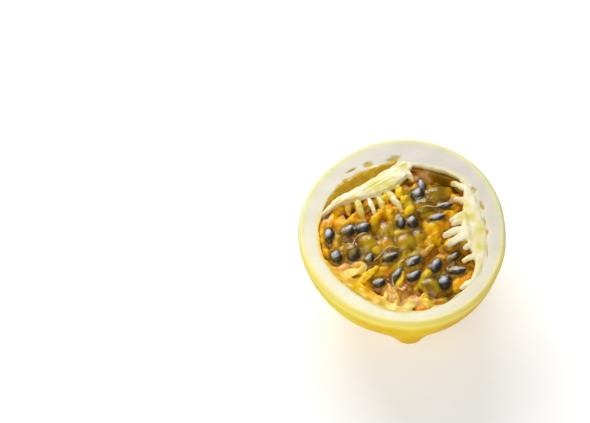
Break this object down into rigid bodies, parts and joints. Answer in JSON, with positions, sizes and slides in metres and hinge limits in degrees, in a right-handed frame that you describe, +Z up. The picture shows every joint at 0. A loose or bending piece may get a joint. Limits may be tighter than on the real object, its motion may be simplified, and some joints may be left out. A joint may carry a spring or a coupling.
{
  "type": "passion fruit half",
  "caption": "Half of a yellow passion fruit, cut face up: thick pale rind, cream placentas with seed stalks, and a wet golden pulp of juice sacs and dark seeds.",
  "frame": {"origin": "the middle of the small flat spot that the half rests on, at the bottom centre of its box", "axes": "+Z up out of the cut face, -Y towards the blossom-end nub, +X to the right as the nub faces the viewer"},
  "size_m": [0.072, 0.0779, 0.0352],
  "materials": {
    "rind": "smooth waxy yellow skin over spongy cream pith",
    "placenta": "moist cream tissue",
    "pulp": "wet translucent juice sacs with dark glossy seeds"
  },
  "bodies": {
    "root": {"rind": "rind", "placenta_left": "placenta", "placenta_right": "placenta", "placenta_lower": "placenta", "pulp": "pulp"}
  },
  "joints": []
}
